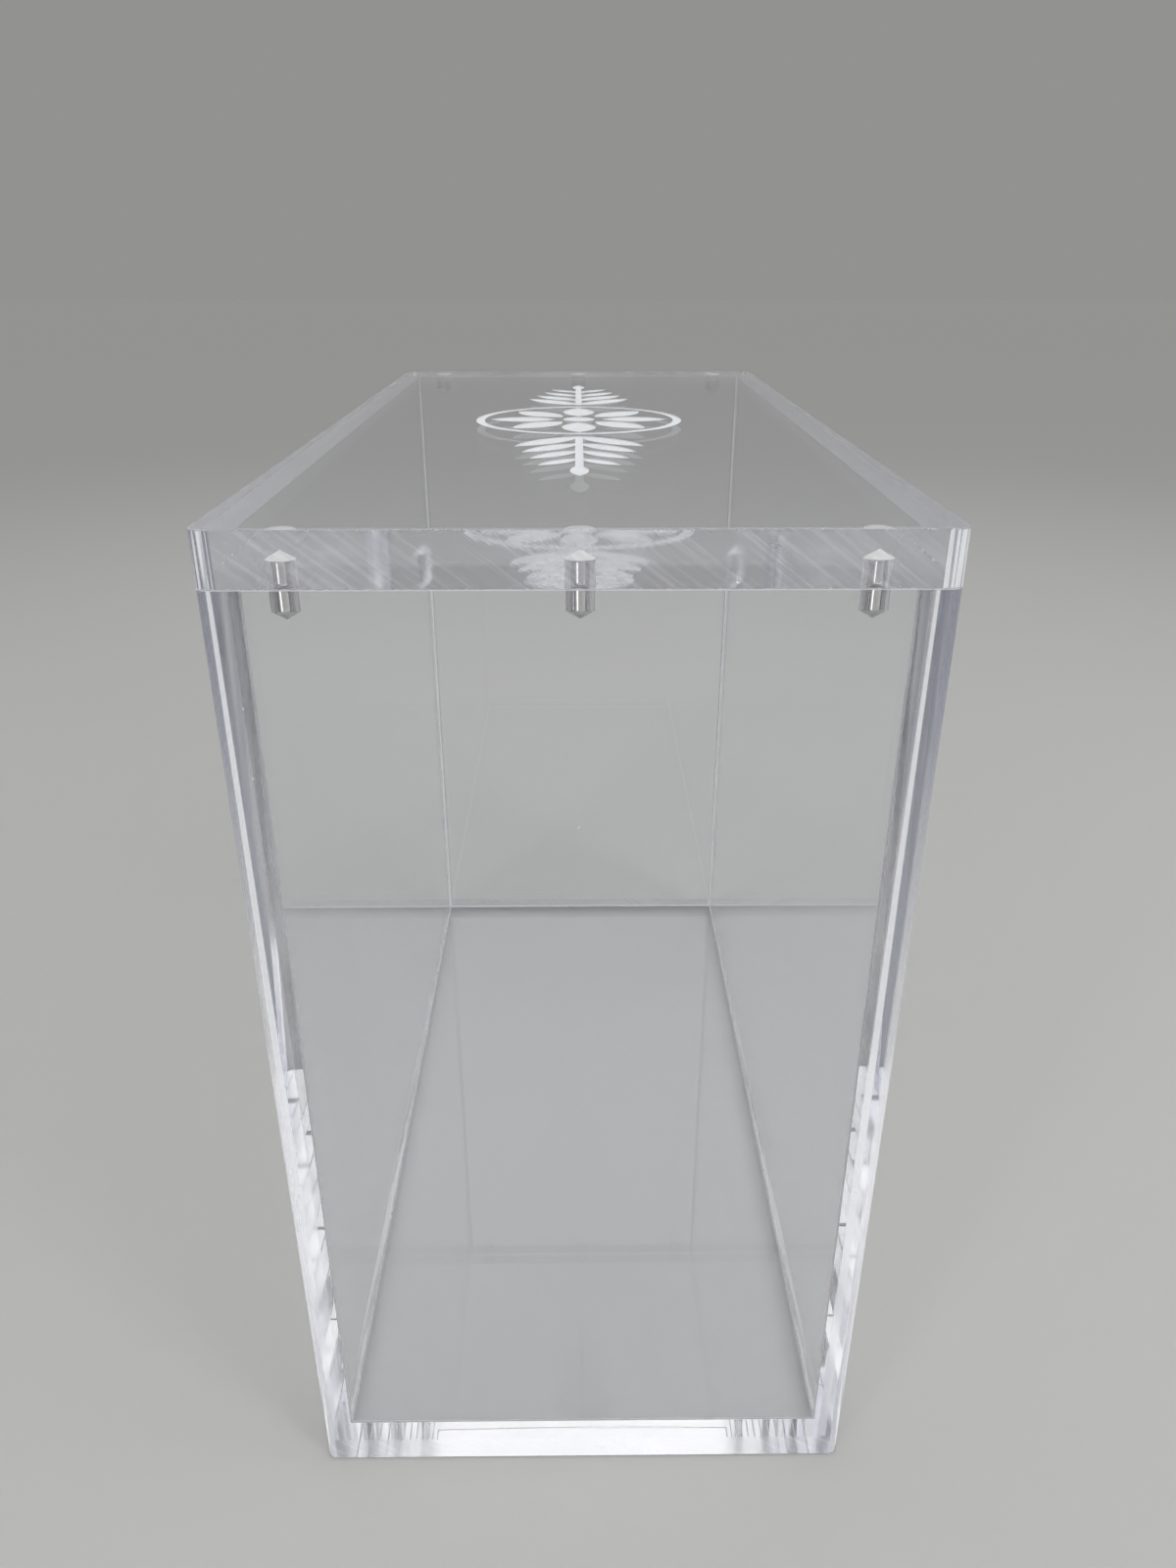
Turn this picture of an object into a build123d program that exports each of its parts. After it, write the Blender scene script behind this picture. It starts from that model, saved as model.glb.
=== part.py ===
from build123d import *
from math import radians, tan
import os

# Clear acrylic display case: five cemented panels and a loose lid held by magnets.
# Millimetres. X runs across the short front, Y from front to back, Z up.
# The origin is the middle of the underside, and the front faces -Y.

# Overall size
case_width = 103.0
case_length = 212.0
case_height = 187.0

# Sheet thicknesses
base_thickness = 5.5
side_wall_thickness = 4.5
end_wall_thickness = 8.0
lid_thickness = 8.0

# Edge finish: rounded upright corners and a narrow polished bevel on the outer rims
corner_radius = 2.0
rim_bevel = 0.2

# Magnets: a row in each end wall, and the same row in the lid above it
magnet_diameter = 4.0
magnet_length = 3.4
magnet_edge_radius = 0.25
magnets_per_row = 3
outer_magnet_inset = 11.5
magnet_recess = 0.15

# Drilled pockets for the magnets, with the drill's pointed end
pocket_clearance = 0.1
drill_point_angle = 118.0

# Drop of adhesive in each drill point, drawn in from the acrylic as it cured
adhesive_shrinkage = 0.05

# Ornament engraved in the lid's top: a rosette in a ring, with a leaf spray each side
engraving_depth = 0.2
ring_outer_radius = 22.0
ring_width = 1.8
rosette_petals = 8
petal_inner_radius = 5.0
petal_length = 14.0
petal_width = 7.0
rosette_boss_radius = 3.4
spray_gap = 3.0
spray_length = 34.0
stem_width = 1.5
leaf_pairs = 4
largest_leaf_length = 17.0
smallest_leaf_length = 10.0
leaf_slimness = 0.32
leaf_angle = 45.0

# Levels
wall_bottom = base_thickness
wall_top = case_height - lid_thickness
wall_height = wall_top - wall_bottom

# Space between the side walls
inner_width = case_width - 2 * side_wall_thickness

# Places of the magnets
magnet_row_y = case_length / 2 - end_wall_thickness / 2
outer_magnet_x = case_width / 2 - outer_magnet_inset
magnet_pitch = 2 * outer_magnet_x / (magnets_per_row - 1)

# Pocket drilled for a magnet
magnet_radius = magnet_diameter / 2
pocket_radius = magnet_radius + pocket_clearance
pocket_depth = magnet_recess + magnet_length
half_point_angle = radians(drill_point_angle / 2)

# Turns for what is set upwards into the lid, or downwards into a wall
into_lid = Rot(0, 0, 0)
into_wall = Rot(180, 0, 0)


def panel(width, length, thickness, x, y, bottom):
    """A flat sheet with its middle at x, y and its underside at a level."""
    sheet = Box(width, length, thickness, align=(Align.CENTER, Align.CENTER, Align.MIN))
    return Pos(x, y, bottom) * sheet


def outer_corners(sheet):
    """The upright edges that stand at the case's four outer corners."""
    edges = sheet.edges().filter_by(Axis.Z)
    half_width = case_width / 2
    half_length = case_length / 2
    tolerance = 0.01
    return [
        edge
        for edge in edges
        if abs(abs(edge.center().X) - half_width) < tolerance
        and abs(abs(edge.center().Y) - half_length) < tolerance
    ]


def pointed_pin(radius, length):
    """A pin that stands on Z = 0 and ends in a drill's point."""
    shank = Cylinder(radius, length, align=(Align.CENTER, Align.CENTER, Align.MIN))
    return shank + Pos(0, 0, length) * drill_point(radius)


def drill_point(radius):
    """The cone that a drill's tip leaves, standing on Z = 0."""
    height = radius / tan(half_point_angle)
    return Cone(radius, 0, height, align=(Align.CENTER, Align.CENTER, Align.MIN))


def magnet_row(y):
    """Places of one row's magnets, on the plane where the lid meets the walls."""
    return [
        Pos(-outer_magnet_x + number * magnet_pitch, y, wall_top)
        for number in range(magnets_per_row)
    ]


def magnet():
    """A plated magnet with rounded ends, recessed into its pocket above Z = 0."""
    slug = Cylinder(magnet_radius, magnet_length, align=(Align.CENTER, Align.CENTER, Align.MIN))
    slug = fillet(slug.edges().filter_by(GeomType.CIRCLE), magnet_edge_radius)
    return Pos(0, 0, magnet_recess) * slug


def adhesive_drop():
    """Cured adhesive between a magnet's inner end and the drill point."""
    return Pos(0, 0, pocket_depth) * drill_point(pocket_radius - adhesive_shrinkage)


def drilled(sheet, turn, rows):
    """The sheet with a pocket at each place of the rows."""
    for y in rows:
        for place in magnet_row(y):
            sheet -= place * turn * pointed_pin(pocket_radius, pocket_depth)
    return sheet


def leaf(length, width):
    """A pointed leaf that runs along +Y from the origin."""
    tip = (0, length)
    right = ThreePointArc((0, 0), (width / 2, length / 2), tip)
    left = ThreePointArc(tip, (-width / 2, length / 2), (0, 0))
    return make_face([right, left])


def rosette():
    """Petals round a boss, inside a ring."""
    ring = Circle(ring_outer_radius) - Circle(ring_outer_radius - ring_width)
    figures = [ring, Circle(rosette_boss_radius)]
    for number in range(rosette_petals):
        turn = Rot(0, 0, 360 * number / rosette_petals)
        figures.append(turn * Pos(0, petal_inner_radius) * leaf(petal_length, petal_width))
    return figures


def spray():
    """A stem with pairs of leaves and a leaf at its end, running along +Y."""
    start = ring_outer_radius + spray_gap
    stem = Pos(0, start + spray_length / 2) * Rectangle(stem_width, spray_length)
    branch = stem
    for pair in range(leaf_pairs):
        share = pair / (leaf_pairs - 1)
        length = largest_leaf_length + share * (smallest_leaf_length - largest_leaf_length)
        foot = Pos(0, start + spray_length * pair / leaf_pairs)
        for side in (-1, 1):
            branch += foot * Rot(0, 0, side * leaf_angle) * leaf(length, length * leaf_slimness)
    end_leaf = leaf(smallest_leaf_length, smallest_leaf_length * leaf_slimness)
    return branch + Pos(0, start + spray_length - stem_width) * end_leaf


def engraving():
    """The ornament's solid, sunk into the lid's top."""
    figures = rosette()
    for turn in (0, 180):
        figures.append(Rot(0, 0, turn) * spray())
    floor = case_height - engraving_depth
    return [extrude(Pos(0, 0, floor) * figure, 2 * engraving_depth) for figure in figures]


def base_panel():
    """The bottom sheet, under all four walls."""
    sheet = panel(case_width, case_length, base_thickness, 0, 0, 0)
    sheet = fillet(outer_corners(sheet), corner_radius)
    return chamfer(sheet.faces().sort_by(Axis.Z)[0].edges(), rim_bevel)


def side_wall(side):
    """A long wall, from the front to the back of the case."""
    x = side * (case_width - side_wall_thickness) / 2
    sheet = panel(side_wall_thickness, case_length, wall_height, x, 0, wall_bottom)
    return fillet(outer_corners(sheet), corner_radius)


def end_wall(end):
    """A short wall between the side walls, drilled from above for its magnets."""
    y = end * (case_length - end_wall_thickness) / 2
    sheet = panel(inner_width, end_wall_thickness, wall_height, 0, y, wall_bottom)
    return drilled(sheet, into_wall, [end * magnet_row_y])


def lid_panel():
    """The loose top sheet, drilled from below for its magnets and engraved on top."""
    sheet = panel(case_width, case_length, lid_thickness, 0, 0, wall_top)
    sheet = fillet(outer_corners(sheet), corner_radius)
    rims = sheet.faces().sort_by(Axis.Z)[-1].edges() + sheet.faces().sort_by(Axis.Z)[0].edges()
    sheet = chamfer(rims, rim_bevel)
    sheet = drilled(sheet, into_lid, [-magnet_row_y, magnet_row_y])
    for figure in engraving():
        sheet -= figure
    return sheet


def column_name(number):
    """Left, middle or right for three in a row, else the place's number."""
    if magnets_per_row == 3:
        return ("left", "middle", "right")[number]
    return str(number + 1)


parts = {
    "base_panel": base_panel(),
    "left_wall": side_wall(-1),
    "right_wall": side_wall(1),
    "front_wall": end_wall(-1),
    "back_wall": end_wall(1),
    "lid_panel": lid_panel(),
}

for end, end_sign in (("front", -1), ("back", 1)):
    for number, place in enumerate(magnet_row(end_sign * magnet_row_y)):
        spot = f"{end}_{column_name(number)}"
        parts[f"lid_magnet_{spot}"] = place * into_lid * magnet()
        parts[f"wall_magnet_{spot}"] = place * into_wall * magnet()
        parts[f"lid_adhesive_{spot}"] = place * into_lid * adhesive_drop()
        parts[f"wall_adhesive_{spot}"] = place * into_wall * adhesive_drop()

os.makedirs("parts", exist_ok=True)
for name, part in parts.items():
    export_step(part, f"parts/{name}.step")
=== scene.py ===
from math import cos, pi, radians, sin

import bpy
from bpy.props import FloatProperty, FloatVectorProperty, IntProperty, PointerProperty
from mathutils import Matrix, Vector


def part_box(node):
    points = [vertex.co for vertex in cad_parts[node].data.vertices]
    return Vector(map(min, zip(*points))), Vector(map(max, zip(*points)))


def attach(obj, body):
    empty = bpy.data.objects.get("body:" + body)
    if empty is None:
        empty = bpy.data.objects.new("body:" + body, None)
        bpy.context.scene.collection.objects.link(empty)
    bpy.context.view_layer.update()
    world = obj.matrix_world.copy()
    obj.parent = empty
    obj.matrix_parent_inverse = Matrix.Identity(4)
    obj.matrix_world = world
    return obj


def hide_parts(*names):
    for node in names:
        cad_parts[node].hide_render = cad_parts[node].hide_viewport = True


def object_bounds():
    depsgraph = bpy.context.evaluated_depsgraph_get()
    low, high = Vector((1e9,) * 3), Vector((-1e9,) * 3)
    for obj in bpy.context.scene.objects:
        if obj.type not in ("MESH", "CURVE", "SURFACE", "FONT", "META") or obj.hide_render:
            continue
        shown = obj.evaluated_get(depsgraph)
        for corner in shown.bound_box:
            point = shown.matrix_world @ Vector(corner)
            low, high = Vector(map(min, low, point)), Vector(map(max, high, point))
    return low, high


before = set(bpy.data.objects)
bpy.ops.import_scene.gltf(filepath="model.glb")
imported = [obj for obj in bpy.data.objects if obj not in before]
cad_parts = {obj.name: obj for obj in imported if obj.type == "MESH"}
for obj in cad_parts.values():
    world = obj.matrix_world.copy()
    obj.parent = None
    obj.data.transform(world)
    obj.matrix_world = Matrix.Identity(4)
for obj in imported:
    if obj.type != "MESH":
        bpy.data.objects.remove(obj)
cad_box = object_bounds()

bl_info = {
    "name": "Acrylic display case",
    "version": (1, 0, 0),
    "blender": (4, 5, 0),
    "location": "3D View > Sidebar > Display Case",
    "description": "Models the clear case, its magnets and engraved lid, and the studio round it",
    "category": "Add Mesh",
}

MM = 0.001
EPSILON = 0.02 * MM
ROWS = ("front", "back")
COLUMNS = ("left", "middle", "right")
SPOTS = [f"{row}_{column}" for row in ROWS for column in COLUMNS]
OWNERS = (("lid", "lid"), ("wall", "case"))
SHEET_FINISHES = ("polished_acrylic", "cut_acrylic", "buffed_edge", "buffed_corner", "sanded_edge",
                  "milled_acrylic", "scraped_edge", "cement_line", "cement_bead", "cement_run",
                  "cement_seam")

# How square to an axis a face's normal is: flat faces pass the first, bevels only the second
SQUARE = 0.98
SLANTED = 0.2

# Facets round the pieces
BEVEL_SEGMENTS = 2
MAGNET_SEGMENTS = 5
HOLE_VERTICES = 64
DROP_VERTICES = 48
RING_VERTICES = 128
LEAF_VERTICES = 256
SHEET_SMOOTHING = radians(30)
ROUND_SMOOTHING = radians(40)

# Thickness of the figures that cut the ornament
PLATE = 2 * MM

# Straight side and blunted tip of a drop of adhesive
DROP_SIDE = 0.06 * MM
DROP_BLUNTING = 0.05 * MM

ACRYLIC_IOR = 1.49
ADHESIVE_IOR = 1.5

# Bounces that light makes on its way through the base and up the walls
BOUNCES = 64

# Width of the floor, and its distance below the case
FLOOR_WIDTH = 12
FLOOR_GAP = 0.3 * MM


# Sizes and colours that a user would change

class CaseSizes(bpy.types.PropertyGroup):
    corner_radius: FloatProperty(
        name="Corner radius", description="Rounding of the case's upright outer corners",
        default=2.0 * MM, unit="LENGTH")
    corner_segments: IntProperty(
        name="Corner segments", description="Facets round each upright corner", default=12)
    rim_bevel: FloatProperty(
        name="Rim bevel", description="Scraped bevel on the lid's and base's outer rims",
        default=0.12 * MM, unit="LENGTH")
    arris: FloatProperty(
        name="Arris", description="Broken edge along the tops of the walls",
        default=0.12 * MM, unit="LENGTH")
    lid_gap: FloatProperty(
        name="Lid gap", description="Film of air between the lid and the walls",
        default=0.03 * MM, unit="LENGTH")
    # How far the painted light and shade lines of the lid's corners run on to the front.
    painted_corner_width: FloatProperty(
        name="Buffed width",
        description="How far the buffing of the lid's corners runs on to the front",
        default=1.2 * MM, unit="LENGTH")
    bead_width: FloatProperty(
        name="Bead width", description="Width of the cement bead in the case's inner corners",
        default=0.4 * MM, unit="LENGTH")
    run_width: FloatProperty(
        name="Run width",
        description="Width of the cement that ran out along the floor's long sides",
        default=0.35 * MM, unit="LENGTH")
    seam_width: FloatProperty(
        name="Seam width", description="Width of the hairline seam along a joint's outside",
        default=0.1 * MM, unit="LENGTH")
    pocket_clearance: FloatProperty(
        name="Pocket clearance", description="Room round a magnet in its drilled pocket",
        default=0.1 * MM, unit="LENGTH")
    magnet_edge: FloatProperty(
        name="Magnet edge", description="Rounding of the magnets' ends",
        default=0.25 * MM, unit="LENGTH")


class OrnamentSizes(bpy.types.PropertyGroup):
    depth: FloatProperty(
        name="Depth", description="Depth of the engraving", default=0.2 * MM, unit="LENGTH")
    ring_radius: FloatProperty(
        name="Ring radius", description="Outer radius of the ring", default=22 * MM, unit="LENGTH")
    ring_width: FloatProperty(
        name="Ring width", description="Width of the ring's line", default=1.8 * MM, unit="LENGTH")
    boss_radius: FloatProperty(
        name="Boss radius", description="Radius of the rosette's middle",
        default=3.4 * MM, unit="LENGTH")
    petals: IntProperty(name="Petals", description="Petals in the rosette", default=8)
    petal_start: FloatProperty(
        name="Petal start", description="Where the petals begin, from the middle",
        default=5 * MM, unit="LENGTH")
    petal_length: FloatProperty(
        name="Petal length", description="Length of a petal", default=14 * MM, unit="LENGTH")
    petal_width: FloatProperty(
        name="Petal width", description="Width of a petal", default=7 * MM, unit="LENGTH")
    spray_gap: FloatProperty(
        name="Spray gap", description="Gap between the ring and a leaf spray",
        default=3 * MM, unit="LENGTH")
    spray_length: FloatProperty(
        name="Spray length", description="Length of a spray's stem",
        default=34 * MM, unit="LENGTH")
    stem_width: FloatProperty(
        name="Stem width", description="Width of a spray's stem", default=1.5 * MM, unit="LENGTH")
    leaf_pairs: IntProperty(name="Leaf pairs", description="Pairs of leaves on a stem", default=4)
    first_leaf: FloatProperty(
        name="First leaf", description="Length of the leaves nearest the ring",
        default=17 * MM, unit="LENGTH")
    last_leaf: FloatProperty(
        name="Last leaf", description="Length of the leaves at the tip",
        default=10 * MM, unit="LENGTH")
    leaf_slimness: FloatProperty(
        name="Leaf slimness", description="A leaf's width over its length", default=0.32)
    leaf_angle: FloatProperty(
        name="Leaf angle", description="Angle between a leaf and its stem",
        default=radians(45), subtype="ANGLE")


class CaseFinish(bpy.types.PropertyGroup):
    acrylic_tint: FloatVectorProperty(
        name="Acrylic tint", description="Colour of the clear sheet", subtype="COLOR",
        default=(0.985, 0.988, 1.0))
    edge_tint: FloatVectorProperty(
        name="Edge tint", description="Colour of the cut edges", subtype="COLOR",
        default=(0.93, 0.935, 0.975))
    # Painted shade: the dark colour standing for what one sees when looking along the sheet.
    painted_shade_tint: FloatVectorProperty(
        name="Slate tint",
        description="Colour of the uprights' edges, where one looks along the sheet",
        subtype="COLOR", default=(0.50, 0.52, 0.64))
    # Painted highlight: the colour of the white line on the uprights and of the light lines on the
    # lid's corners.
    painted_highlight_tint: FloatVectorProperty(
        name="Buffed tint", description="Colour of the lines that buffing left on the uprights",
        subtype="COLOR", default=(0.95, 0.965, 1.0))
    milled_colour: FloatVectorProperty(
        name="Milled colour", description="Colour of the milled and scraped edges",
        subtype="COLOR", default=(0.80, 0.80, 0.845))
    bead_colour: FloatVectorProperty(
        name="Bead colour", description="Colour of the cement in the inner corners",
        subtype="COLOR", default=(0.98, 0.985, 1.0))
    seam_colour: FloatVectorProperty(
        name="Seam colour", description="Colour of the hairline seams on the outside",
        subtype="COLOR", default=(0.78, 0.79, 0.85))
    haze_colour: FloatVectorProperty(
        name="Haze colour", description="Colour of the haze inside the cemented joints",
        subtype="COLOR", default=(0.30, 0.30, 0.37))
    etch_colour: FloatVectorProperty(
        name="Etch colour", description="Colour of the engraved ornament", subtype="COLOR",
        default=(0.92, 0.94, 0.96))
    nickel_colour: FloatVectorProperty(
        name="Nickel colour", description="Colour of the magnets' plating", subtype="COLOR",
        default=(0.80, 0.77, 0.71))
    adhesive_colour: FloatVectorProperty(
        name="Adhesive colour", description="Colour of the cured adhesive", subtype="COLOR",
        default=(0.95, 0.95, 0.93))
    edge_roughness: FloatProperty(
        name="Edge roughness", description="Roughness of the cut edges", default=0.035,
        subtype="FACTOR")


class StudioSettings(bpy.types.PropertyGroup):
    floor_colour: FloatVectorProperty(
        name="Floor colour", description="Colour of the floor round the case", subtype="COLOR",
        default=(0.43, 0.43, 0.42))
    # The floor darkens to this colour away from the case, a painted falloff of light.
    far_colour: FloatVectorProperty(
        name="Far colour", description="Colour that the floor fades to", subtype="COLOR",
        default=(0.312, 0.312, 0.3075))
    low_dome: FloatVectorProperty(
        name="Low dome", description="Colour of the dome near the horizon", subtype="COLOR",
        default=(0.288, 0.288, 0.2845))
    dome_high: FloatProperty(
        name="High dome", description="Brightness of the dome overhead", default=1.15)
    window_power: FloatProperty(
        name="Window power", description="Power of the large soft light at the front right",
        default=3.5, unit="POWER")
    fill_power: FloatProperty(
        name="Fill power", description="Power of each of the two fill lights in front",
        default=2.2, unit="POWER")
    card_power: FloatProperty(
        name="Card power", description="Power of the small light that stands low in front",
        default=0.0016, unit="POWER")
    card_spread: FloatProperty(
        name="Card spread", description="Angle of the small light's beam",
        default=radians(26), subtype="ANGLE")
    camera_place: FloatVectorProperty(
        name="Camera place", description="Where the camera stands", subtype="TRANSLATION",
        default=(-0.3 * MM, -250.7 * MM, 219.4 * MM))
    camera_pitch: FloatProperty(
        name="Camera pitch", description="How far the camera looks down",
        default=radians(25.5), subtype="ANGLE")
    camera_yaw: FloatProperty(
        name="Camera yaw", description="How far the camera is turned to the right",
        default=radians(0.52), subtype="ANGLE")
    camera_lens: FloatProperty(
        name="Camera lens", description="Focal length in millimetres, on a 36 mm sensor",
        default=25.57)


# Selecting and editing

def only(*objects):
    """Selects these objects alone, and makes the first one active."""
    bpy.ops.object.select_all(action="DESELECT")
    for obj in objects:
        obj.select_set(True)
    bpy.context.view_layer.objects.active = objects[0]


def edit(obj, test, operator, **settings):
    """Runs an edit-mode operator on the edges that pass the test."""
    only(obj)
    bpy.ops.object.mode_set(mode="EDIT")
    bpy.ops.mesh.select_mode(type="EDGE")
    bpy.ops.mesh.select_all(action="DESELECT")
    bpy.ops.object.mode_set(mode="OBJECT")
    for edge in obj.data.edges:
        edge.select = test([obj.data.vertices[i].co for i in edge.vertices])
    bpy.ops.object.mode_set(mode="EDIT")
    operator(**settings)
    bpy.ops.object.mode_set(mode="OBJECT")


def split_at(obj, axis, *places):
    """Cuts the faces along planes square to an axis, and leaves both sides."""
    normal = Vector((0, 0, 0))
    normal[axis] = 1
    only(obj)
    for place in places:
        bpy.ops.object.mode_set(mode="EDIT")
        bpy.ops.mesh.select_all(action="SELECT")
        bpy.ops.mesh.bisect(plane_co=normal * place, plane_no=normal)
        bpy.ops.object.mode_set(mode="OBJECT")


def apply_place(obj):
    """Puts the object's place, turn and size into its mesh."""
    only(obj)
    bpy.ops.object.transform_apply(location=True, rotation=True, scale=True)


def apply_modifier(obj, kind, **settings):
    """Changes the object's mesh by a modifier."""
    modifier = obj.modifiers.new(kind.lower(), kind)
    for name, value in settings.items():
        setattr(modifier, name, value)
    only(obj)
    bpy.ops.object.modifier_apply(modifier=modifier.name)


def cut(obj, cutter, operation="DIFFERENCE", **settings):
    """Takes the cutter out of the object, or keeps what they share, and deletes the cutter."""
    apply_modifier(obj, "BOOLEAN", operation=operation, object=cutter, solver="EXACT", **settings)
    discard(cutter)


def shade(obj, angle):
    """Smooths the shading of round faces and keeps that of flat ones."""
    only(obj)
    bpy.ops.object.shade_smooth_by_angle(angle=angle)


def discard(obj):
    """Deletes an object."""
    only(obj)
    bpy.ops.object.delete()


def join(objects):
    """Makes one object of several."""
    only(*objects)
    if len(objects) > 1:
        bpy.ops.object.join()
    return bpy.context.object


def copy_of(obj, name, place):
    """A copy with its own mesh, moved there."""
    only(obj)
    bpy.ops.object.duplicate()
    copy = bpy.context.object
    copy.name = name
    copy.data.name = name
    copy.location = place
    apply_place(copy)
    return copy


def add_cylinder(radius, depth, vertices, place=(0, 0, 0), ends="NGON"):
    """An upright cylinder with its middle at a place."""
    bpy.ops.object.select_all(action="DESELECT")
    bpy.ops.mesh.primitive_cylinder_add(
        vertices=vertices, radius=radius, depth=depth, location=place, end_fill_type=ends)
    cylinder = bpy.context.object
    apply_place(cylinder)
    return cylinder


def add_block(size, place):
    """A block with its middle at a place."""
    bpy.ops.object.select_all(action="DESELECT")
    bpy.ops.mesh.primitive_cube_add(size=1, location=place, scale=size)
    block = bpy.context.object
    apply_place(block)
    return block


def finish_piece(obj, body, cad_node):
    """Seats a finished piece in the model in place of its CAD node."""
    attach(obj, body)
    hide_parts(cad_node)


# Panels of sheet

def add_sheet(name, low, high):
    """A flat sheet between two corners."""
    sheet = add_block(high - low, (low + high) / 2)
    sheet.name = name
    sheet.data.name = name
    for finish in SHEET_FINISHES:
        sheet.data.materials.append(bpy.data.materials[finish])
    return sheet


def round_corners(sheet, sizes):
    """Rounds the upright edges that stand at the case's outer corners."""
    low, high = cad_box

    def at_corner(points):
        upright = abs(points[0].z - points[1].z) > sizes.corner_radius
        return upright and all(
            min(p.x - low.x, high.x - p.x) < EPSILON and min(p.y - low.y, high.y - p.y) < EPSILON
            for p in points
        )

    edit(sheet, at_corner, bpy.ops.mesh.bevel,
         offset=sizes.corner_radius, segments=sizes.corner_segments, affect="EDGES")


def bevel_rim(sheet, level, width):
    """Bevels the edges that lie at a level, on the sheet's outside."""
    def on_rim(points):
        return all(abs(p.z - level) < EPSILON for p in points)

    edit(sheet, on_rim, bpy.ops.mesh.bevel, offset=width, segments=BEVEL_SEGMENTS, affect="EDGES")


def pocket_cutter(spot, owner, sizes):
    """A drill's shape for one magnet pocket, from past the joint plane to the drill's point."""
    magnet_low, magnet_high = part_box(f"{owner}_magnet_{spot}")
    drop_low, drop_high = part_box(f"{owner}_adhesive_{spot}")
    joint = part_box("lid_panel")[0].z
    if owner == "lid":
        mouth, shoulder, tip = joint - MM, drop_low.z, drop_high.z
    else:
        mouth, shoulder, tip = joint + MM, drop_high.z, drop_low.z
    centre = (magnet_low + magnet_high) / 2
    radius = (magnet_high.x - magnet_low.x) / 2 + sizes.pocket_clearance
    cutter = add_cylinder(radius, abs(mouth - shoulder), HOLE_VERTICES,
                          (centre.x, centre.y, (mouth + shoulder) / 2), ends="TRIFAN")
    for vertex in cutter.data.vertices:
        middle = abs(vertex.co.x - centre.x) < EPSILON and abs(vertex.co.y - centre.y) < EPSILON
        if middle and abs(vertex.co.z - shoulder) < EPSILON:
            vertex.co.z = tip
    for finish in ("drilled_acrylic", "drill_point"):
        cutter.data.materials.append(bpy.data.materials[finish])
    for face in cutter.data.polygons:
        face.material_index = 1 if SLANTED < abs(face.normal.z) < SQUARE else 0
    return cutter


def carve(sheet, cutters):
    """Takes the cutters out of the sheet. The cut faces keep the cutters' material."""
    cut(sheet, join(cutters), use_self=True, material_mode="TRANSFER")


def dress_sheet(sheet, material_of):
    """Gives each face that the sheet had from the start its finish, then shades the sheet."""
    names = [material.name for material in sheet.data.materials]
    for face in sheet.data.polygons:
        if names[face.material_index] in SHEET_FINISHES:
            face.material_index = names.index(material_of(face.center, face.normal))
    shade(sheet, SHEET_SMOOTHING)
    apply_modifier(sheet, "WEIGHTED_NORMAL", mode="FACE_AREA", weight=100, keep_sharp=True)


# Ornament engraved in the lid

def add_leaf(length, slimness):
    """A pointed leaf along +Y from the origin, as a thick plate."""
    half = length / 2
    rise = length * slimness / 2
    arc_radius = (half * half + rise * rise) / (2 * rise)
    leaf, other = (
        add_cylinder(arc_radius, PLATE, LEAF_VERTICES, (side * (arc_radius - rise), half, 0))
        for side in (-1, 1)
    )
    cut(leaf, other, "INTERSECT")
    return leaf


def turned_copy(obj, angle, place):
    """A copy turned about the origin and then moved."""
    copy = copy_of(obj, "figure", (0, 0, 0))
    copy.data.transform(Matrix.Translation(place) @ Matrix.Rotation(angle, 4, "Z"))
    return copy


def rosette_figures(ornament):
    """The ring, the boss and the petals."""
    ring = add_cylinder(ornament.ring_radius, PLATE, RING_VERTICES)
    cut(ring, add_cylinder(ornament.ring_radius - ornament.ring_width, 2 * PLATE, RING_VERTICES))
    figures = [ring, add_cylinder(ornament.boss_radius, PLATE, HOLE_VERTICES)]
    petal = add_leaf(ornament.petal_length, ornament.petal_width / ornament.petal_length)
    for number in range(ornament.petals):
        angle = 2 * pi * number / ornament.petals
        place = Vector((-sin(angle), cos(angle), 0)) * ornament.petal_start
        figures.append(turned_copy(petal, angle, place))
    discard(petal)
    return figures


def spray_figures(ornament, heading):
    """One leaf spray, running from the ring along the lid."""
    start = ornament.ring_radius + ornament.spray_gap
    length = ornament.spray_length
    turn = Matrix.Rotation(heading, 4, "Z")
    stem = add_block((ornament.stem_width, length, PLATE), (0, start + length / 2, 0))
    stem.data.transform(turn)
    figures = [stem]
    pairs = ornament.leaf_pairs
    for pair in range(pairs):
        share = pair / (pairs - 1)
        leaf_length = ornament.first_leaf + share * (ornament.last_leaf - ornament.first_leaf)
        leaf = add_leaf(leaf_length, ornament.leaf_slimness)
        foot = turn @ Vector((0, start + length * pair / pairs, 0))
        for side in (-1, 1):
            figures.append(turned_copy(leaf, heading + side * ornament.leaf_angle, foot))
        discard(leaf)
    leaf = add_leaf(ornament.last_leaf, ornament.leaf_slimness)
    foot = turn @ Vector((0, start + length - ornament.stem_width, 0))
    figures.append(turned_copy(leaf, heading, foot))
    discard(leaf)
    return figures


def ornament_cutter(ornament, top):
    """The whole ornament as one cutter that reaches its depth below the lid's top."""
    figures = rosette_figures(ornament)
    for heading in (0, pi):
        figures += spray_figures(ornament, heading)
    cutter = join(figures)
    cutter.location.z = top - ornament.depth + PLATE / 2
    apply_place(cutter)
    cutter.data.materials.clear()
    cutter.data.materials.append(bpy.data.materials["etched_acrylic"])
    return cutter


# Nodes of the materials

def fill(tree, owner, sockets):
    """Sets a node's sockets, each to a value or to another node's output."""
    for socket, value in sockets.items():
        if isinstance(value, bpy.types.NodeSocket):
            tree.links.new(value, owner.inputs[socket])
        else:
            owner.inputs[socket].default_value = value


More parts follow.
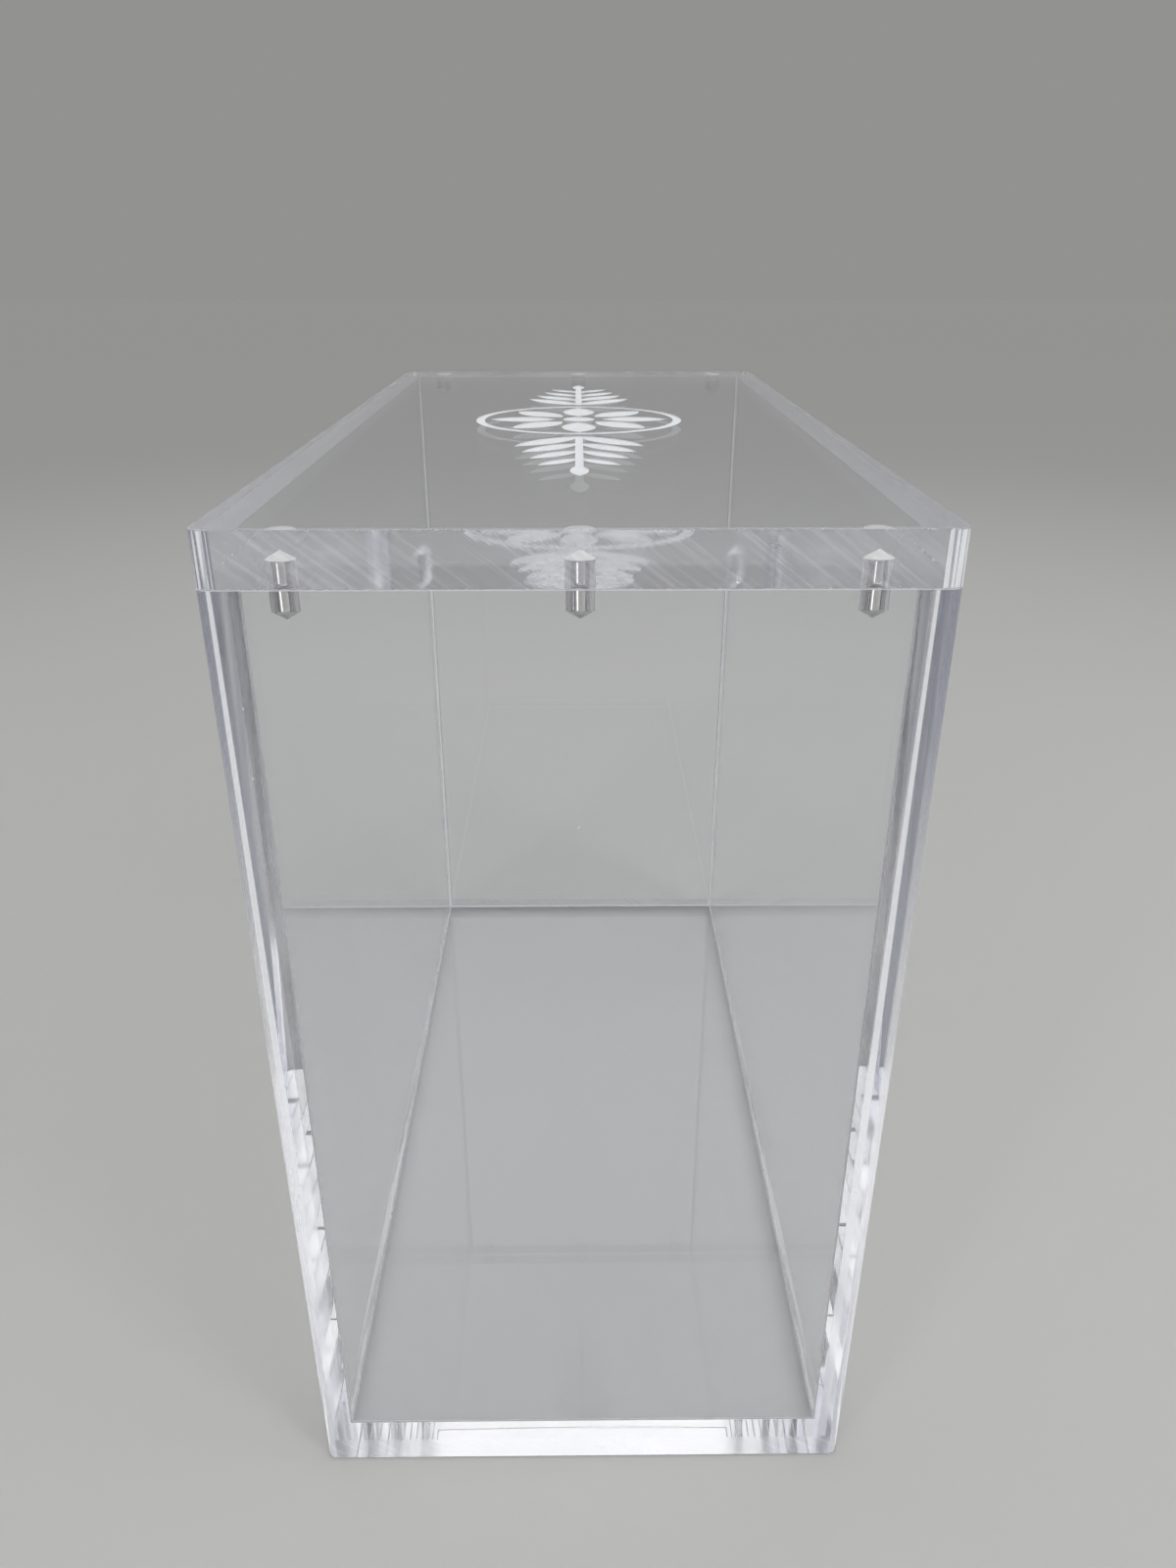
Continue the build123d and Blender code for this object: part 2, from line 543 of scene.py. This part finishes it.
def node(tree, kind, sockets=None, **settings):
    """A node with its settings and its sockets."""
    made = tree.nodes.new(kind)
    for name, value in settings.items():
        setattr(made, name, value)
    fill(tree, made, sockets or {})
    return made


def maths(tree, operation, *values, clamp=False):
    """The result of a Math node."""
    return node(tree, "ShaderNodeMath", dict(enumerate(values)), operation=operation,
                use_clamp=clamp).outputs[0]


def coordinates(tree):
    """Object coordinates in metres."""
    return node(tree, "ShaderNodeTexCoord").outputs["Object"]


def axes(tree, vector):
    """The three numbers of a vector."""
    return node(tree, "ShaderNodeSeparateXYZ", {0: vector}).outputs


def scaled(tree, scale, place=None):
    """Coordinates scaled along each axis, the object's own if no others are given."""
    place = coordinates(tree) if place is None else place
    return node(tree, "ShaderNodeMapping", {"Vector": place, "Scale": scale}).outputs[0]


def noise(tree, scale, detail, roughness=0.5, place=None):
    """Soft noise with so many lumps to the metre along each axis."""
    return node(tree, "ShaderNodeTexNoise", {
        "Vector": scaled(tree, scale, place), "Scale": 1.0, "Detail": detail,
        "Roughness": roughness}).outputs[0]


def cell_pattern(tree, scale):
    """Scattered cells, with so many to the metre along each axis."""
    return node(tree, "ShaderNodeTexVoronoi", {"Vector": scaled(tree, scale), "Scale": 1.0}).outputs


def ramp(tree, factor, low, high, low_value=0.0, high_value=1.0, shape="LINEAR"):
    """Maps a value from one range to another, with its ends held."""
    return node(tree, "ShaderNodeMapRange", {
        "Value": factor, "From Min": low, "From Max": high, "To Min": low_value,
        "To Max": high_value}, clamp=True, interpolation_type=shape).outputs["Result"]


def blend(tree, factor, first, second):
    """The colour between two others."""
    return node(tree, "ShaderNodeMix", {0: factor, 6: first, 7: second},
                data_type="RGBA").outputs[2]


def bump(tree, height, strength, distance):
    """The surface raised by a pattern."""
    return node(tree, "ShaderNodeBump", {
        "Height": height, "Strength": strength, "Distance": distance}).outputs["Normal"]


def new_material(name):
    """A new material's node tree and its Principled shader."""
    material = bpy.data.materials.new(name)
    material.use_nodes = True
    return material.node_tree, material.node_tree.nodes["Principled BSDF"]


def new_finish(name, tint, roughness, clarity=1.0, ior=ACRYLIC_IOR):
    """A new finish with an even tint, roughness and clarity, until a pattern takes their place."""
    tree, shader = new_material(name)
    fill(tree, shader, {"Base Color": (*tint, 1), "Roughness": roughness,
                        "Transmission Weight": clarity, "IOR": ior})
    return tree, shader


def grained_finish(name, tint, roughness, clarity, scale, detail, grain=0.5, dulling=None,
                   relief=None, ior=ACRYLIC_IOR):
    """A new finish with one noise pattern.

    dulling gives the pattern's range and the roughness at its two ends, and relief the strength
    and the height of its bump.
    """
    tree, shader = new_finish(name, tint, roughness, clarity, ior)
    pattern = noise(tree, scale, detail, grain)
    if dulling:
        fill(tree, shader, {"Roughness": ramp(tree, pattern, *dulling)})
    if relief:
        fill(tree, shader, {"Normal": bump(tree, pattern, *relief)})
    return tree, shader, pattern


# Materials

def polished_acrylic(finish):
    """The sheet's own cast faces: clear, with faint wipe marks and specks of dust."""
    tree, shader = new_finish("polished_acrylic", finish.acrylic_tint, roughness=0.0)
    smears = noise(tree, (14, 9, 11), detail=6.0, roughness=0.62)
    cells = cell_pattern(tree, (70, 70, 70))
    near_middle = ramp(tree, cells["Distance"], 0.008, 0.016, 1.0, 0.0)
    dusty = maths(tree, "GREATER_THAN", cells["Color"], 0.6)
    speck = maths(tree, "MULTIPLY", near_middle, dusty)
    fill(tree, shader, {
        "Roughness": ramp(tree, smears, 0.52, 0.78, 0.0, 0.04),
        "Transmission Weight": ramp(tree, speck, 0.0, 1.0, 1.0, 0.1),
    })


def cut_acrylic(finish):
    """Sawn and polished edges: clear but slightly milky, with fine slanting cutter marks."""
    rough = finish.edge_roughness
    tree, shader = new_finish("cut_acrylic", finish.edge_tint, rough)
    x, y, z = axes(tree, coordinates(tree))
    slant = 1.3
    slanted = maths(tree, "MULTIPLY_ADD", z, slant, maths(tree, "ADD", x, y))
    flat = node(tree, "ShaderNodeCombineXYZ", {0: slanted, 1: z}).outputs[0]
    marks, streaks = (noise(tree, scale, detail=3.0, roughness=0.6, place=flat)
                      for scale in ((2600, 90, 1), (700, 45, 1)))
    patches = noise(tree, (70, 70, 70), detail=4.0, roughness=0.6)
    patchy = ramp(tree, patches, 0.35, 0.7, rough * 0.6, rough * 1.5)
    duller_foot = ramp(tree, z, 6 * MM, 9 * MM, 0.05, 0.0)
    fill(tree, shader, {
        "Transmission Weight": ramp(tree, streaks, 0.48, 0.72, 0.96, 0.8),
        "Roughness": maths(tree, "ADD", patchy, duller_foot),
        "Normal": bump(tree, marks, 0.12, 0.05 * MM),
    })


def buffed_edge(finish):
    """The uprights' edges: a satin rounding, with slate bands and a white line painted on as shade
    and highlight.

    The line stands beside the rounding on the left upright, and just outside the joint on the
    right one. Low down the edges are clear, and light from the base whitens them.
    """
    tree, shader = new_finish("buffed_edge", finish.painted_shade_tint, roughness=0.02)
    clear, slate, white = (
        (*tint, 1) for tint in (finish.edge_tint, finish.painted_shade_tint, finish.painted_highlight_tint))
    inner, outer = (corner.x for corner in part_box("right_wall"))
    x, _, height = axes(tree, coordinates(tree))
    strokes = noise(tree, (1300, 1300, 7), detail=1.0)
    frayed = maths(tree, "MULTIPLY_ADD", strokes, 0.5 * MM, maths(tree, "ABSOLUTE", x))
    across = ramp(tree, frayed, inner + 0.25 * MM, outer + 0.25 * MM)

    # Painted shade: slate bands across the edge, standing for the dark seen when looking along the
    # sheet.
    bands = node(tree, "ShaderNodeValToRGB", {0: across})
    stops = ((0.0, clear), (0.1, clear), (0.28, slate), (0.52, slate), (0.6, clear), (1.0, clear))
    elements = bands.color_ramp.elements
    elements.remove(elements[1])
    for number, (position, colour) in enumerate(stops):
        element = elements[0] if number == 0 else elements.new(position)
        element.position = position
        element.color = colour

    # Painted highlight: a white line, placed differently on the left and on the right upright.
    line_place = ramp(tree, x, -MM, MM, inner + 2.7 * MM, inner + 0.95 * MM)
    aside = maths(tree, "ABSOLUTE", maths(tree, "SUBTRACT", frayed, line_place))
    narrowing = 0.0035
    line = ramp(tree, maths(tree, "MULTIPLY_ADD", height, narrowing, aside),
                0.8 * MM, 1.0 * MM, 1.0, 0.0)
    rounding = ramp(tree, across, 0.56, 0.64)
    # Painted shade: the slate spreads over the rounding towards the top.
    shaded = maths(tree, "MULTIPLY", rounding, ramp(tree, height, 115 * MM, 165 * MM))
    low_down = ramp(tree, height, 75 * MM, 100 * MM, 0.92, 0.0)
    colour = bands.outputs["Color"]
    for factor, tint in ((shaded, slate), (low_down, clear), (line, white)):
        colour = blend(tree, factor, colour, tint)

    satin = maths(tree, "MULTIPLY", rounding, ramp(tree, height, 120 * MM, 170 * MM, 0.3, 0.12))
    thinned = maths(tree, "MULTIPLY", satin, ramp(tree, height, 60 * MM, 100 * MM, 0.35, 1.0))
    chalky = ramp(tree, height, 60 * MM, 100 * MM, 0.15, 0.7)
    milky = maths(tree, "MULTIPLY_ADD", line, chalky, thinned, clamp=True)
    fill(tree, shader, {
        "Base Color": colour,
        "Transmission Weight": ramp(tree, milky, 0.0, 1.0, 1.0, 0.1),
        "Roughness": maths(tree, "ADD", ramp(tree, milky, 0.0, 0.4, 0.01, 0.25),
                           ramp(tree, height, 80 * MM, 105 * MM, 0.08, 0.0)),
    })


def buffed_corner(finish):
    """The lid's rounded corners: crisp light and slate lines, painted highlights and shade in place
    of reflections.
    """
    tree, shader = new_finish("buffed_corner", finish.painted_shade_tint, roughness=0.05)
    line = ramp(tree, noise(tree, (1700, 1700, 25), detail=2.0), 0.44, 0.56)
    fill(tree, shader, {
        "Base Color": blend(tree, line, (*finish.painted_shade_tint, 1), (*finish.painted_highlight_tint, 1)),
        "Transmission Weight": ramp(tree, line, 0.0, 1.0, 1.0, 0.3),
        "Roughness": ramp(tree, line, 0.0, 1.0, 0.02, 0.25),
    })


def sanded_edge(finish):
    """The lid's long edges: sanded satin, then half polished."""
    grained_finish("sanded_edge", finish.edge_tint, roughness=0.15, clarity=0.8,
                   scale=(110, 110, 110), detail=5.0, grain=0.6, dulling=(0.35, 0.7, 0.1, 0.2))


def milled_acrylic(finish):
    """The walls' tops, milled flat and left satin, with the cutter's fine marks across them."""
    grained_finish("milled_acrylic", finish.milled_colour, roughness=0.4, clarity=0.5,
                   scale=(700, 700, 1), detail=4.0, grain=0.65, dulling=(0.3, 0.7, 0.35, 0.5),
                   relief=(0.2, 0.05 * MM))


def scraped_edge(finish):
    """The narrow bevels on the rims, scraped and left a little dull."""
    grained_finish("scraped_edge", finish.milled_colour, roughness=0.25, clarity=0.9,
                   scale=(900, 900, 900), detail=4.0, grain=0.6, dulling=(0.3, 0.7, 0.12, 0.35),
                   relief=(0.05, 0.05 * MM))


def cement_bead(finish):
    """The thin white bead of cement inside the end walls' corners."""
    grained_finish("cement_bead", finish.bead_colour, roughness=0.2, clarity=0.05,
                   scale=(400, 400, 400), detail=4.0, grain=0.6, dulling=(0.3, 0.7, 0.1, 0.3),
                   relief=(0.1, 0.1 * MM))


def cement_run(finish):
    """Cement that ran out beside the floor's and the side walls' joints: pale and half clear."""
    tree, shader, edge = grained_finish(
        "cement_run", finish.bead_colour, roughness=0.3, clarity=1.0,
        scale=(150, 150, 150), detail=5.0, grain=0.6, dulling=(0.3, 0.7, 0.25, 0.45))
    fill(tree, shader, {"Transmission Weight": ramp(tree, edge, 0.3, 0.7, 0.65, 0.85)})


def cement_seam(finish):
    """The hairline along a joint's outside."""
    grained_finish("cement_seam", finish.seam_colour, roughness=0.2, clarity=0.75,
                   scale=(160, 160, 160), detail=4.0, grain=0.6, dulling=(0.3, 0.7, 0.1, 0.3))


def cement_line(finish):
    """A solvent-cemented joint: next to nothing shows but a faint haze and small bubbles."""
    tree, shader = new_material("cement_line")
    bubbles = cell_pattern(tree, (420, 420, 420))["Distance"]
    patches = noise(tree, (60, 60, 60), detail=4.0)
    dots = maths(tree, "MULTIPLY", ramp(tree, bubbles, 0.12, 0.2, 0.2, 0.0),
                 ramp(tree, patches, 0.5, 0.65))
    haze = maths(tree, "ADD", dots, ramp(tree, patches, 0.35, 0.75, 0.12, 0.4), clamp=True)
    height = axes(tree, coordinates(tree))[2]
    fill(tree, shader, {
        "Base Color": (*finish.haze_colour, 1),
        "Roughness": 0.4,
        "Alpha": maths(tree, "MULTIPLY", haze, ramp(tree, height, 10 * MM, 90 * MM, 0.2, 1.0)),
    })


def drilled_acrylic(finish):
    """The walls of the magnets' pockets, ringed by the drill."""
    grained_finish("drilled_acrylic", finish.edge_tint, roughness=0.08, clarity=1.0,
                   scale=(300, 300, 6000), detail=2.0, relief=(0.3, 0.05 * MM))


def drill_point(finish):
    """The white, torn cone that the drill's tip leaves."""
    grained_finish("drill_point", finish.adhesive_colour, roughness=0.55, clarity=0.05,
                   scale=(2500, 2500, 2500), detail=3.0, relief=(0.6, 0.1 * MM))


def etched_acrylic(finish):
    """Laser engraving: white, matt and faintly lined by the beam's passes."""
    grained_finish("etched_acrylic", finish.etch_colour, roughness=0.75, clarity=0.45,
                   scale=(600, 9000, 1), detail=2.0, relief=(0.35, 0.05 * MM))


def nickel_plating(finish):
    """Bright nickel with a slight grain."""
    tree, shader = new_material("nickel_plating")
    grain = noise(tree, (900, 900, 900), detail=4.0)
    fill(tree, shader, {
        "Base Color": (*finish.nickel_colour, 1),
        "Metallic": 1,
        "Roughness": ramp(tree, grain, 0.3, 0.75, 0.07, 0.2),
        "Normal": bump(tree, grain, 0.08, 0.03 * MM),
    })


def cured_adhesive(finish):
    """White, slightly clear adhesive with small voids."""
    grained_finish("cured_adhesive", finish.adhesive_colour, roughness=0.5, clarity=0.2,
                   scale=(1800, 1800, 1800), detail=3.0, dulling=(0.35, 0.7, 0.25, 0.6),
                   relief=(0.5, 0.1 * MM), ior=ADHESIVE_IOR)


# Operators, one for each piece or group of like pieces

class CASE_OT_finishes(bpy.types.Operator):
    """Makes the case's materials"""
    bl_idname = "case.finishes"
    bl_label = "Make finishes"

    def execute(self, context):
        for make in (polished_acrylic, cut_acrylic, buffed_edge, buffed_corner, sanded_edge,
                     milled_acrylic, scraped_edge, drilled_acrylic, drill_point, cement_line,
                     cement_bead, cement_run, cement_seam, etched_acrylic, nickel_plating,
                     cured_adhesive):
            make(context.scene.case_finish)
        return {"FINISHED"}


class CASE_OT_base(bpy.types.Operator):
    """Models the base panel, under all four walls"""
    bl_idname = "case.base"
    bl_label = "Add base panel"

    def execute(self, context):
        sizes = context.scene.case_sizes
        low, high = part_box("base_panel")
        inner_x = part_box("right_wall")[0].x
        inner_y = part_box("back_wall")[0].y
        bead_x = inner_x - sizes.run_width
        bead_y = inner_y - sizes.bead_width
        sheet = add_sheet("base", low, high)
        round_corners(sheet, sizes)
        bevel_rim(sheet, low.z, sizes.rim_bevel)
        split_at(sheet, 0, -inner_x, -bead_x, bead_x, inner_x)
        split_at(sheet, 1, -inner_y, -bead_y, bead_y, inner_y)

        def finish_of(centre, normal):
            if normal.z > SQUARE:
                if abs(centre.x) > inner_x or abs(centre.y) > inner_y:
                    return "cement_line"
                beaded = abs(centre.y) > bead_y or abs(centre.x) > bead_x
                return "cement_run" if beaded else "polished_acrylic"
            if normal.z < -SQUARE or abs(normal.x) > SQUARE:
                return "polished_acrylic"
            return "scraped_edge" if normal.z < -SLANTED else "cut_acrylic"

        dress_sheet(sheet, finish_of)
        finish_piece(sheet, "case", "base_panel")
        return {"FINISHED"}


class CASE_OT_side_walls(bpy.types.Operator):
    """Models the two long walls"""
    bl_idname = "case.side_walls"
    bl_label = "Add side walls"

    def execute(self, context):
        sizes = context.scene.case_sizes
        inner_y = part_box("back_wall")[0].y
        bead_y = inner_y - sizes.bead_width
        for side, outward in (("left", -1), ("right", 1)):
            low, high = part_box(f"{side}_wall")
            high.z -= sizes.lid_gap
            seam_top = low.z + sizes.seam_width
            bead_top = low.z + sizes.bead_width
            sheet = add_sheet(f"{side}_side_wall", low, high)
            round_corners(sheet, sizes)
            bevel_rim(sheet, high.z, sizes.arris)
            split_at(sheet, 1, -inner_y, -bead_y, bead_y, inner_y)
            split_at(sheet, 2, seam_top, bead_top)

            def finish_of(centre, normal, outward=outward, seam_top=seam_top, bead_top=bead_top):
                if normal.z < -SQUARE:
                    return "cement_line"
                if normal.z > SLANTED:
                    return "milled_acrylic"
                if normal.x * outward < -SQUARE:
                    if abs(centre.y) > inner_y:
                        return "cement_line"
                    beaded = abs(centre.y) > bead_y or centre.z < bead_top
                    return "cement_run" if beaded else "polished_acrylic"
                if centre.z < seam_top:
                    return "cement_seam"
                # The uprights' edges get painted shade bands and a painted highlight line.
                return "polished_acrylic" if abs(normal.x) > SQUARE else "buffed_edge"

            dress_sheet(sheet, finish_of)
            finish_piece(sheet, "case", f"{side}_wall")
        return {"FINISHED"}


class CASE_OT_end_walls(bpy.types.Operator):
    """Models the two short walls with their magnet pockets"""
    bl_idname = "case.end_walls"
    bl_label = "Add end walls"

    def execute(self, context):
        sizes = context.scene.case_sizes
        for row, outward in (("front", -1), ("back", 1)):
            low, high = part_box(f"{row}_wall")
            high.z -= sizes.lid_gap
            outer_y = low.y if outward < 0 else high.y
            seam_top = low.z + sizes.seam_width
            bead_top = low.z + sizes.bead_width
            seam_x = high.x - sizes.seam_width
            bead_x = high.x - sizes.bead_width
            sheet = add_sheet(f"{row}_end_wall", low, high)

            def on_outer_top(points, outer_y=outer_y, top=high.z):
                return all(abs(p.z - top) < EPSILON and abs(p.y - outer_y) < EPSILON
                           for p in points)

            edit(sheet, on_outer_top, bpy.ops.mesh.bevel,
                 offset=sizes.arris, segments=BEVEL_SEGMENTS, affect="EDGES")
            carve(sheet, [pocket_cutter(f"{row}_{column}", "wall", sizes) for column in COLUMNS])
            split_at(sheet, 2, seam_top, bead_top)
            split_at(sheet, 0, -seam_x, -bead_x, bead_x, seam_x)

            def finish_of(centre, normal, outward=outward, seam_top=seam_top, bead_top=bead_top,
                          seam_x=seam_x, bead_x=bead_x):
                if normal.z < -SQUARE or abs(normal.x) > SQUARE:
                    return "cement_line"
                if normal.z > SLANTED:
                    return "milled_acrylic"
                if normal.y * outward > SQUARE:
                    seamed = centre.z < seam_top or abs(centre.x) > seam_x
                    return "cement_seam" if seamed else "polished_acrylic"
                beaded = centre.z < bead_top or abs(centre.x) > bead_x
                return "cement_bead" if beaded else "polished_acrylic"

            dress_sheet(sheet, finish_of)
            finish_piece(sheet, "case", f"{row}_wall")
        return {"FINISHED"}


class CASE_OT_lid(bpy.types.Operator):
    """Models the loose lid with its magnet pockets and engraved ornament"""
    bl_idname = "case.lid"
    bl_label = "Add lid"

    def execute(self, context):
        sizes = context.scene.case_sizes
        low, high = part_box("lid_panel")
        painted_corner_x = high.x - sizes.corner_radius - sizes.painted_corner_width
        sheet = add_sheet("lid", low, high)
        round_corners(sheet, sizes)
        bevel_rim(sheet, low.z, sizes.rim_bevel)
        bevel_rim(sheet, high.z, sizes.rim_bevel)
        split_at(sheet, 0, -painted_corner_x, painted_corner_x)
        carve(sheet, [pocket_cutter(spot, "lid", sizes) for spot in SPOTS])
        carve(sheet, [ornament_cutter(context.scene.case_ornament, high.z)])

        def finish_of(centre, normal):
            if abs(normal.z) > SQUARE:
                return "polished_acrylic"
            if abs(normal.z) > SLANTED:
                return "scraped_edge"
            if abs(normal.x) > SQUARE:
                return "sanded_edge"
            # The rounded corners get painted light and shade lines.
            return "cut_acrylic" if abs(centre.x) < painted_corner_x else "buffed_corner"

        dress_sheet(sheet, finish_of)
        finish_piece(sheet, "lid", "lid_panel")
        return {"FINISHED"}


class CASE_OT_magnets(bpy.types.Operator):
    """Models the nickel-plated magnets in the lid and the end walls"""
    bl_idname = "case.magnets"
    bl_label = "Add magnets"

    def execute(self, context):
        low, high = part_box(f"lid_magnet_{SPOTS[0]}")
        length = high.z - low.z
        slug = add_cylinder((high.x - low.x) / 2, length, HOLE_VERTICES)

        def round_an_end(points):
            level = points[0].z
            return abs(abs(level) - length / 2) < EPSILON and abs(points[1].z - level) < EPSILON

        edit(slug, round_an_end, bpy.ops.mesh.bevel,
             offset=context.scene.case_sizes.magnet_edge, segments=MAGNET_SEGMENTS,
             affect="EDGES")
        slug.data.materials.append(bpy.data.materials["nickel_plating"])
        shade(slug, ROUND_SMOOTHING)
        apply_modifier(slug, "WEIGHTED_NORMAL", mode="FACE_AREA", weight=100, keep_sharp=True)
        for owner, body in OWNERS:
            for spot in SPOTS:
                low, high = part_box(f"{owner}_magnet_{spot}")
                magnet = copy_of(slug, f"{owner}_plated_magnet_{spot}", (low + high) / 2)
                finish_piece(magnet, body, f"{owner}_magnet_{spot}")
        discard(slug)
        return {"FINISHED"}


class CASE_OT_adhesive(bpy.types.Operator):
    """Models the cured adhesive in the drill points"""
    bl_idname = "case.adhesive"
    bl_label = "Add adhesive"

    def execute(self, context):
        for owner, body in OWNERS:
            for spot in SPOTS:
                low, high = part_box(f"{owner}_adhesive_{spot}")
                centre = (low + high) / 2
                foot, point, inward = (
                    (low.z, high.z, 1) if owner == "lid" else (high.z, low.z, -1))
                drop = add_cylinder((high.x - low.x) / 2 - EPSILON, high.z - low.z,
                                    DROP_VERTICES, centre, ends="TRIFAN")
                drop.name = f"{owner}_cured_drop_{spot}"
                drop.data.name = drop.name
                for vertex in drop.data.vertices:
                    if abs(vertex.co.z - point) < EPSILON:
                        middle = (vertex.co.xy - centre.xy).length < EPSILON
                        vertex.co.z = (point - inward * DROP_BLUNTING if middle
                                       else foot + inward * DROP_SIDE)
                drop.data.materials.append(bpy.data.materials["cured_adhesive"])
                shade(drop, ROUND_SMOOTHING)
                finish_piece(drop, body, f"{owner}_adhesive_{spot}")
        return {"FINISHED"}


class CASE_OT_stage(bpy.types.Operator):
    """Sets the floor, the light and the camera"""
    bl_idname = "case.stage"
    bl_label = "Set the stage"

    def execute(self, context):
        scene = context.scene
        self.add_floor(scene.case_studio)
        self.add_world(scene.case_studio)
        self.add_lights(scene.case_studio)
        self.add_camera(scene.case_studio)
        scene.view_settings.view_transform = "Standard"
        scene.cycles.max_bounces = BOUNCES
        scene.cycles.transmission_bounces = BOUNCES
        scene.cycles.glossy_bounces = BOUNCES
        scene.cycles.transparent_max_bounces = BOUNCES
        scene.cycles.blur_glossy = 0
        return {"FINISHED"}

    def add_floor(self, studio):
        """A floor that fades, far from the case, to the colour that meets the dome's: a painted
        falloff of light round the case.
        """
        bpy.ops.object.select_all(action="DESELECT")
        bpy.ops.mesh.primitive_plane_add(size=FLOOR_WIDTH, location=(0, 0, -FLOOR_GAP))
        floor = bpy.context.object
        floor.name = "floor"
        apply_place(floor)
        tree, shader = new_material("studio_floor")
        grain = noise(tree, (500, 500, 500), detail=3.0)
        distance = node(tree, "ShaderNodeVectorMath", {0: coordinates(tree)}, operation="LENGTH")
        # Painted falloff of light: the floor darkens from the case outwards.
        fade = ramp(tree, distance.outputs["Value"], 0.25, 1.3, shape="SMOOTHSTEP")
        fill(tree, shader, {
            "Specular IOR Level": 0.2,
            "Base Color": blend(tree, fade, (*studio.floor_colour, 1), (*studio.far_colour, 1)),
            "Roughness": ramp(tree, grain, 0.3, 0.7, 0.7, 0.8),
        })
        floor.data.materials.append(bpy.data.materials["studio_floor"])

    def add_world(self, studio):
        """A soft dome: bright overhead, dimmer towards the horizon."""
        world = bpy.data.worlds.new("studio_dome")
        bpy.context.scene.world = world
        world.use_nodes = True
        tree = world.node_tree
        direction = node(tree, "ShaderNodeTexCoord").outputs["Generated"]
        rise = ramp(tree, axes(tree, direction)[2], 0.42, 0.7, shape="SMOOTHSTEP")
        overhead = [studio.dome_high] * 3
        fill(tree, tree.nodes["Background"], {
            "Color": blend(tree, rise, (*studio.low_dome, 1), (*overhead, 1))})

    def add_lights(self, studio):
        """Two fills in front, a narrow beam that draws a line down the magnets, and a window."""
        for name, place in (("left_fill", (-0.6, -0.85, 0.45)), ("right_fill", (0.75, -0.7, 0.45))):
            fill_light = self.add_light(name, place, target=(0, -0.1, 0.18), size=(0.2, 0.9),
                                        power=studio.fill_power)
            fill_light.visible_glossy = False
            fill_light.visible_transmission = False
        card = self.add_light("low_card", (-0.25, -0.43, 0.06), target=(0, -0.1, 0.178),
                              size=(0.14, 0.09), power=studio.card_power)
        card.data.spread = studio.card_spread
        card.visible_glossy = False
        self.add_light("window", (0.9, -0.5, 0.85), target=(0, 0, 0.05), size=(1.1, 1.1),
                       power=studio.window_power)

    def add_light(self, name, place, target, size, power):
        """A rectangular light that the camera doesn't see."""
        data = bpy.data.lights.new(name, "AREA")
        data.shape = "RECTANGLE"
        data.size, data.size_y = size
        data.energy = power
        light = bpy.data.objects.new(name, data)
        bpy.context.scene.collection.objects.link(light)
        light.visible_camera = False
        light.location = place
        aim = Vector(target) - Vector(place)
        light.rotation_euler = aim.to_track_quat("-Z", "Y").to_euler()
        return light

    def add_camera(self, studio):
        """The camera, in front of the case and looking down on to its lid."""
        data = bpy.data.cameras.new("camera")
        data.sensor_width = 36
        data.lens = studio.camera_lens
        data.clip_start = 10 * MM
        camera = bpy.data.objects.new("camera", data)
        bpy.context.scene.collection.objects.link(camera)
        camera.location = studio.camera_place
        camera.rotation_euler = (pi / 2 - studio.camera_pitch, 0, -studio.camera_yaw)
        bpy.context.scene.camera = camera


class CASE_PT_panel(bpy.types.Panel):
    """Lists the case's sizes, finishes and steps"""
    bl_idname = "CASE_PT_panel"
    bl_label = "Display Case"
    bl_space_type = "VIEW_3D"
    bl_region_type = "UI"
    bl_category = "Display Case"

    def draw(self, context):
        for operator in STEPS:
            self.layout.operator(operator.bl_idname)
        for name in GROUPS:
            settings = getattr(context.scene, name)
            box = self.layout.box()
            for prop in settings.bl_rna.properties:
                if prop.identifier not in ("rna_type", "name"):
                    box.prop(settings, prop.identifier)


STEPS = (CASE_OT_stage, CASE_OT_finishes, CASE_OT_base, CASE_OT_side_walls, CASE_OT_end_walls,
         CASE_OT_lid, CASE_OT_magnets, CASE_OT_adhesive)
GROUPS = {
    "case_sizes": CaseSizes,
    "case_ornament": OrnamentSizes,
    "case_finish": CaseFinish,
    "case_studio": StudioSettings,
}


def register():
    """Adds the case's settings, steps and panel to Blender."""
    for group in GROUPS.values():
        bpy.utils.register_class(group)
    for name, group in GROUPS.items():
        setattr(bpy.types.Scene, name, PointerProperty(type=group))
    for operator in STEPS:
        bpy.utils.register_class(operator)
    bpy.utils.register_class(CASE_PT_panel)


def unregister():
    """Takes the panel, the steps and the settings out again."""
    bpy.utils.unregister_class(CASE_PT_panel)
    for operator in reversed(STEPS):
        bpy.utils.unregister_class(operator)
    for name, group in GROUPS.items():
        delattr(bpy.types.Scene, name)
        bpy.utils.unregister_class(group)


def main():
    register()
    for operator in STEPS:
        group, name = operator.bl_idname.split(".")
        getattr(getattr(bpy.ops, group), name)()


if __name__ == "__main__":
    main()
